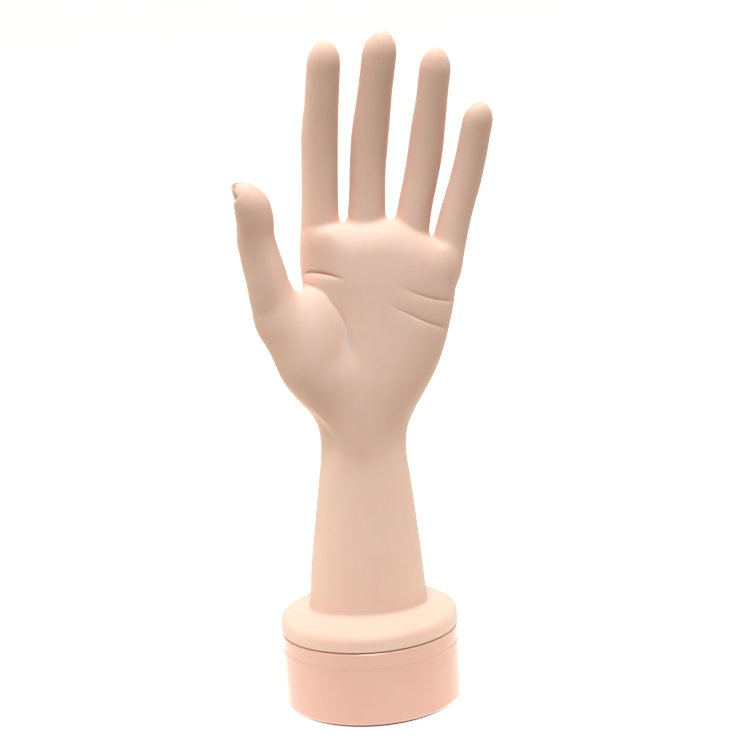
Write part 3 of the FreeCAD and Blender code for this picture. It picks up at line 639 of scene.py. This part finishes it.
verts, faces = hand_mesh()
skin = add_mesh("hand_vinyl", verts, faces)
bm = bmesh.new()
bm.from_mesh(skin.data)
bad = [e for e in bm.edges if not e.is_manifold]
print("hand_vinyl", len(bm.verts), "verts", len(bm.faces), "faces", "open or bad edges", len(bad))
for e in bm.edges:
    if len(e.link_faces) == 2 and e.calc_face_angle(0) > math.radians(42) and max(v.co.z for v in e.verts) < 0.0397:
        e.smooth = False
bmesh.ops.recalc_face_normals(bm, faces=bm.faces)
bm.to_mesh(skin.data)
bm.free()


def crease_fields(me):
    """Signed distance to each flexion line and its strength, kept on the mesh for the fine crease's bump and its
    painted shade.
    """
    co = np.empty(len(me.vertices) * 3, np.float32)
    me.vertices.foreach_get("co", co)
    co = co.reshape(-1, 3).astype(float) * 1000.0
    front = sstep(-2.5, -6.0, co[:, 1])
    for k, pts in LINES.items():
        _, t, s = poly_dist(co[:, 0], co[:, 2], pts)
        f = {"A": sstep(0.02, 0.2, t) * (1 - sstep(0.72, 1.0, t)), "B": 0.6 * (1 - sstep(0.3, 0.9, t))}.get(k)
        if f is None:
            f = 0.66 * sstep(0.1, 0.7, t) * (1 - sstep(0.72, 0.9, t))
        for name, v in (("line_" + k, s), ("fade_" + k, f * front)):
            a = me.attributes.new(name, "FLOAT", "POINT")
            a.data.foreach_set("value", np.clip(v, -40, 40).astype(np.float32))


crease_fields(skin.data)


# ============================================================ materials
def new_mat(name):
    m = bpy.data.materials.new(name)
    m.use_nodes = True
    nt = m.node_tree
    b = nt.nodes["Principled BSDF"]
    return m, nt, b


def node(nt, kind, **kw):
    n = nt.nodes.new(kind)
    for k, v in kw.items():
        if hasattr(n, k):
            setattr(n, k, v)
        else:
            n.inputs[k].default_value = v
    return n


def ramp(nt, fac, stops):
    r = nt.nodes.new("ShaderNodeValToRGB")
    el = r.color_ramp.elements
    while len(el) < len(stops):
        el.new(0.5)
    for e, (p, c) in zip(el, stops):
        e.position = p
        e.color = (*c, 1) if len(c) == 3 else c
    nt.links.new(fac, r.inputs["Fac"])
    return r.outputs["Color"]


def noise(nt, vec, scale, detail=3.0, rough=0.5):
    n = nt.nodes.new("ShaderNodeTexNoise")
    n.inputs["Scale"].default_value = scale
    n.inputs["Detail"].default_value = detail
    n.inputs["Roughness"].default_value = rough
    nt.links.new(vec, n.inputs["Vector"])
    return n.outputs["Fac"]


def obj_coord(nt):
    return nt.nodes.new("ShaderNodeTexCoord").outputs["Object"]


def math_node(nt, op, a, b=None, c=None):
    n = nt.nodes.new("ShaderNodeMath")
    n.operation = op
    for i, v in enumerate((a, b, c)):
        if v is None:
            continue
        if isinstance(v, (int, float)):
            n.inputs[i].default_value = v
        else:
            nt.links.new(v, n.inputs[i])
    return n.outputs[0]


def mixc(nt, fac, a, b):
    n = nt.nodes.new("ShaderNodeMix")
    n.data_type = "RGBA"
    if isinstance(fac, (int, float)):
        n.inputs[0].default_value = fac
    else:
        nt.links.new(fac, n.inputs[0])
    for s, v in ((6, a), (7, b)):
        if isinstance(v, tuple):
            n.inputs[s].default_value = (*v, 1)
        else:
            nt.links.new(v, n.inputs[s])
    return n.outputs[2]


def bump(nt, b, height, strength, dist):
    n = nt.nodes.new("ShaderNodeBump")
    n.inputs["Strength"].default_value = strength
    n.inputs["Distance"].default_value = dist
    nt.links.new(height, n.inputs["Height"])
    nt.links.new(n.outputs["Normal"], b.inputs["Normal"])
    return n


def srgb(r, g, b):
    def f(c):
        c /= 255
        return c / 12.92 if c <= 0.04045 else ((c + 0.055) / 1.055) ** 2.4
    return (f(r), f(g), f(b))


def crease(nt, key, width):
    """One fine crease, 0..1, from the fields kept on the mesh (width in mm)."""
    out = []
    for name in ("line_" + key, "fade_" + key):
        a = nt.nodes.new("ShaderNodeAttribute")
        a.attribute_type = "GEOMETRY"
        a.attribute_name = name
        out.append(a.outputs["Fac"])
    sq = math_node(nt, "MULTIPLY", out[0], out[0])
    return math_node(nt, "MULTIPLY", math_node(nt, "EXPONENT", math_node(nt, "MULTIPLY", sq, -1.0 / width ** 2)), out[1])


def vinyl_mat():
    m, nt, b = new_mat("soft_vinyl_skin")
    co = obj_coord(nt)
    big = noise(nt, co, 22, 3)
    fine = noise(nt, co, 900, 3, 0.6)
    base = ramp(nt, big, [(0.3, srgb(239, 204, 184)), (0.7, srgb(244, 210, 190))])
    speck = ramp(nt, noise(nt, co, 2600, 2, 0.5), [(0.42, (0.975, 0.97, 0.965)), (0.62, (1, 1, 1))])
    mul = nt.nodes.new("ShaderNodeMix")
    mul.data_type = "RGBA"
    mul.blend_type = "MULTIPLY"
    mul.inputs[0].default_value = 1.0
    nt.links.new(base, mul.inputs[6])
    nt.links.new(speck, mul.inputs[7])
    lines = None
    for k, w in (("A", 0.62), ("B", 0.42), ("C", 0.42), ("D", 0.42)):
        g = crease(nt, k, w)
        lines = g if lines is None else math_node(nt, "MAXIMUM", lines, g)
    # painted shade: the crease lines multiply the base colour darker, standing for the shadow in each fold; the same
    # mask also drives the crease bump
    painted_crease_shade = nt.nodes.new("ShaderNodeMix")
    painted_crease_shade.data_type = "RGBA"
    painted_crease_shade.blend_type = "MULTIPLY"
    nt.links.new(math_node(nt, "MULTIPLY", lines, 0.62), painted_crease_shade.inputs[0])
    nt.links.new(mul.outputs[2], painted_crease_shade.inputs[6])
    painted_crease_shade.inputs[7].default_value = (0.84, 0.70, 0.62, 1)
    nt.links.new(painted_crease_shade.outputs[2], b.inputs["Base Color"])
    b.inputs["Subsurface Weight"].default_value = 0.5
    b.inputs["Subsurface Radius"].default_value = (1.0, 0.45, 0.28)
    b.inputs["Subsurface Scale"].default_value = 0.006
    b.inputs["Specular IOR Level"].default_value = 0.35
    b.inputs["Sheen Weight"].default_value = 0.05
    b.inputs["Sheen Roughness"].default_value = 0.3
    nt.links.new(math_node(nt, "MULTIPLY_ADD", big, 0.08, 0.50), b.inputs["Roughness"])
    hgt = math_node(nt, "ADD", math_node(nt, "MULTIPLY", fine, 0.55), math_node(nt, "MULTIPLY", noise(nt, co, 160, 2), 0.8))
    fine_bump = bump(nt, b, hgt, 0.10, 0.0002)
    line_bump = bump(nt, b, math_node(nt, "SUBTRACT", 1.0, lines), 0.6, 0.0005)
    nt.links.new(fine_bump.outputs["Normal"], line_bump.inputs["Normal"])
    return m


def gloss_mat(name, c0, c1, rough=0.16, coat=0.06):
    m, nt, b = new_mat(name)
    co = obj_coord(nt)
    big = noise(nt, co, 30, 3)
    nt.links.new(ramp(nt, big, [(0.3, c0), (0.7, c1)]), b.inputs["Base Color"])
    scuff = noise(nt, co, 420, 5, 0.7)
    nt.links.new(math_node(nt, "MULTIPLY_ADD", scuff, 0.12, rough - 0.05), b.inputs["Roughness"])
    b.inputs["Subsurface Weight"].default_value = 0.10
    b.inputs["Subsurface Radius"].default_value = (1.0, 0.5, 0.3)
    b.inputs["Subsurface Scale"].default_value = 0.002
    b.inputs["Coat Weight"].default_value = coat
    b.inputs["Specular IOR Level"].default_value = 0.2
    b.inputs["Coat Roughness"].default_value = 0.06
    bump(nt, b, math_node(nt, "ADD", math_node(nt, "MULTIPLY", noise(nt, co, 55, 2), 1.0),
                          math_node(nt, "MULTIPLY", scuff, 0.06)), 0.06, 0.0004)
    return m


def plain_mat(name, c0, c1, scale, rough, rough_var=0.12, metal=0.0, bmp=(0.15, 0.0002), detail=4, bscale=None):
    m, nt, b = new_mat(name)
    co = obj_coord(nt)
    n1 = noise(nt, co, scale, detail, 0.6)
    nt.links.new(ramp(nt, n1, [(0.32, c0), (0.68, c1)]), b.inputs["Base Color"])
    nt.links.new(math_node(nt, "MULTIPLY_ADD", n1, rough_var, rough - rough_var / 2), b.inputs["Roughness"])
    b.inputs["Metallic"].default_value = metal
    bump(nt, b, noise(nt, co, bscale or scale * 3, 4, 0.6), bmp[0], bmp[1])
    return m


def set_mat(ob, m):
    if not ob.data.materials:
        ob.data.materials.append(m)
    for i in range(len(ob.data.materials)):
        ob.data.materials[i] = m


M_SKIN = vinyl_mat()
M_NAIL = gloss_mat("nail_vinyl_satin", srgb(238, 200, 182), srgb(243, 208, 190), 0.36)
M_PINK = gloss_mat("gloss_pink_plastic", srgb(226, 183, 165), srgb(231, 189, 171), 0.16, 0.12)
M_LID = gloss_mat("gloss_pink_plastic_lid", srgb(228, 187, 167), srgb(232, 192, 172), 0.16, 0.12)
M_FOAM = plain_mat("rigid_foam", srgb(214, 200, 160), srgb(226, 213, 176), 180, 0.85, bmp=(0.5, 0.0006), bscale=900)
M_SOCK = plain_mat("moulded_white_plastic", srgb(226, 224, 218), srgb(236, 234, 228), 60, 0.42)
M_NYLON = plain_mat("brown_nylon", srgb(142, 92, 66), srgb(156, 104, 76), 120, 0.55)
M_IRON = plain_mat("cast_iron", srgb(58, 58, 60), srgb(92, 90, 88), 260, 0.6, metal=0.85, bmp=(0.5, 0.0004))
M_ZINC = plain_mat("zinc_steel", srgb(176, 178, 180), srgb(206, 207, 208), 300, 0.32, metal=1.0)
M_RUB = plain_mat("black_ring_rubber", srgb(34, 32, 32), srgb(50, 47, 46), 400, 0.7)
# a rubber foot pad whose dark reddish colour is painted shadow: it stands for the contact shadow, tinted by the pink
# base, in the gap under the cup
M_PAD_SHADOW = plain_mat("foot_pad_rubber_painted_shadow", srgb(112, 46, 36), srgb(130, 58, 46), 320, 0.75, bmp=(0.35, 0.0003))

skin.data.materials.append(M_SKIN)
for n, m in {"hand_core": M_FOAM, "socket_cup": M_SOCK, "turn_ring": M_NYLON, "base_cup": M_PINK, "base_lid": M_LID,
             "ballast_plate": M_IRON, "ballast_screws": M_ZINC, "lid_screws": M_ZINC, "friction_ring": M_RUB,
             "foot_pad": M_PAD_SHADOW}.items():
    set_mat(NODES[n], m)
for k in NAILS:
    set_mat(NODES[k + "_nail"], M_NAIL)
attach(skin, "hand")
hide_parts("hand_skin")

# ============================================================ floor, light, camera
def stage_mesh():
    """A flat floor that sweeps up to a pale wall all round, far from the object."""
    prof = [(0.0, 0.0), (0.3, 0.0), (1.2, 0.0), (2.6, 0.0)]
    for i in range(1, 13):
        a = math.radians(90 * i / 12)
        prof.append((2.6 + 1.2 * math.sin(a), 1.2 - 1.2 * math.cos(a)))
    prof += [(3.8, 3.2)]
    vs, fs = [(0.0, 0.0, 0.0)], []
    n = 96
    for r, z in prof[1:]:
        for i in range(n):
            a = 2 * math.pi * i / n
            vs.append((r * math.cos(a), r * math.sin(a), z))
    for i in range(n):
        fs.append((0, 1 + i, 1 + (i + 1) % n))
    for k in range(len(prof) - 2):
        a, b = 1 + k * n, 1 + (k + 1) * n
        for i in range(n):
            j = (i + 1) % n
            fs.append((a + i, b + i, b + j, a + j))
    me = bpy.data.meshes.new("floor")
    me.from_pydata(vs, [], fs)
    me.polygons.foreach_set("use_smooth", [True] * len(me.polygons))
    me.update()
    ob = bpy.data.objects.new("floor", me)
    bpy.context.scene.collection.objects.link(ob)
    return ob


floor = stage_mesh()
mf, ntf, bf_ = new_mat("pale_floor")
cf = obj_coord(ntf)
ntf.links.new(ramp(ntf, noise(ntf, cf, 3.0, 2), [(0.2, (0.86, 0.86, 0.86)), (0.8, (0.9, 0.9, 0.9))]), bf_.inputs["Base Color"])
bf_.inputs["Roughness"].default_value = 0.8
bf_.inputs["Emission Color"].default_value = (1, 1, 1, 1)
bf_.inputs["Emission Strength"].default_value = 0.74
floor.data.materials.append(mf)
floor.visible_diffuse = False
floor.visible_glossy = False
floor.visible_shadow = False

world = bpy.data.worlds.new("studio")
bpy.context.scene.world = world
world.use_nodes = True
nw = world.node_tree
bg = nw.nodes["Background"]
tc = nw.nodes.new("ShaderNodeTexCoord")
sep = nw.nodes.new("ShaderNodeSeparateXYZ")
nw.links.new(tc.outputs["Generated"], sep.inputs[0])
# brighter round the sides and behind, darker in front and below
mr = nw.nodes.new("ShaderNodeMapRange")
mr.interpolation_type = "SMOOTHSTEP"
mr.inputs["From Min"].default_value = -0.5
mr.inputs["From Max"].default_value = 0.2
mr.inputs["To Min"].default_value = 0.14
mr.inputs["To Max"].default_value = 1.06
nw.links.new(sep.outputs["Y"], mr.inputs["Value"])
mz = nw.nodes.new("ShaderNodeMapRange")
mz.interpolation_type = "SMOOTHSTEP"
mz.inputs["From Min"].default_value = -0.35
mz.inputs["From Max"].default_value = 0.2
mz.inputs["To Min"].default_value = 0.96
mz.inputs["To Max"].default_value = 1.0
nw.links.new(sep.outputs["Z"], mz.inputs["Value"])
mt = nw.nodes.new("ShaderNodeMapRange")
mt.interpolation_type = "SMOOTHSTEP"
mt.inputs["From Min"].default_value = 0.25
mt.inputs["From Max"].default_value = 0.85
mt.inputs["To Min"].default_value = 1.0
mt.inputs["To Max"].default_value = 0.72
nw.links.new(sep.outputs["Z"], mt.inputs["Value"])
low = math_node(nw, "MULTIPLY", mr.outputs[0], mz.outputs[0])
nw.links.new(math_node(nw, "MULTIPLY", low, mt.outputs[0]), bg.inputs["Strength"])
# warm from the room in front, whiter round the sides
mw = nw.nodes.new("ShaderNodeMapRange")
mw.interpolation_type = "SMOOTHSTEP"
mw.inputs["From Min"].default_value = -0.5
mw.inputs["From Max"].default_value = 0.35
nw.links.new(sep.outputs["Y"], mw.inputs["Value"])
nw.links.new(mixc(nw, mw.outputs[0], (1.0, 0.70, 0.47), (1.0, 0.94, 0.87)), bg.inputs["Color"])


def area(name, loc, aim, size, energy, colour=(1, 1, 1), size_y=None):
    l = bpy.data.lights.new(name, "AREA")
    l.energy = energy
    l.color = colour
    l.size = size
    if size_y:
        l.shape = "RECTANGLE"
        l.size_y = size_y
    o = bpy.data.objects.new(name, l)
    bpy.context.scene.collection.objects.link(o)
    o.location = loc
    o.rotation_euler = (Vector(aim) - Vector(loc)).to_track_quat("-Z", "Y").to_euler()
    return o


area("key", (0.03, -0.75, 1.50), (0, 0, 0.16), 0.55, 25.9, (0.955, 1.0, 1.085))
area("side", (-0.74, -0.05, 0.16), (0, 0, 0.19), 0.5, 0.75, (1.0, 0.98, 0.95))
# light that a pale table throws back up
b_ = area("table_bounce", (0, 0, 0.0015), (0, 0, 1), 0.4, 0.40, (1.0, 0.96, 0.93))
b_.data.shape = "DISK"

cam = bpy.data.cameras.new("camera")
co_ = bpy.data.objects.new("camera", cam)
bpy.context.scene.collection.objects.link(co_)
bpy.context.scene.camera = co_
cam.sensor_width = 36
cam.lens = 84.0
pt, rl = 0.1893, -0.0656
fwd = Vector((0, math.cos(pt), -math.sin(pt)))
rt_, up_ = Vector((1, 0, 0)), Vector((0, math.sin(pt), math.cos(pt)))
r2 = math.cos(rl) * rt_ + math.sin(rl) * up_
u2 = -math.sin(rl) * rt_ + math.cos(rl) * up_
M = Matrix((r2, u2, -fwd)).transposed().to_4x4()
M.translation = Vector((0.009916, -0.76868, 0.29783))
co_.matrix_world = M
cam.clip_start, cam.clip_end = 0.01, 50
bpy.context.scene.view_settings.view_transform = "Standard"
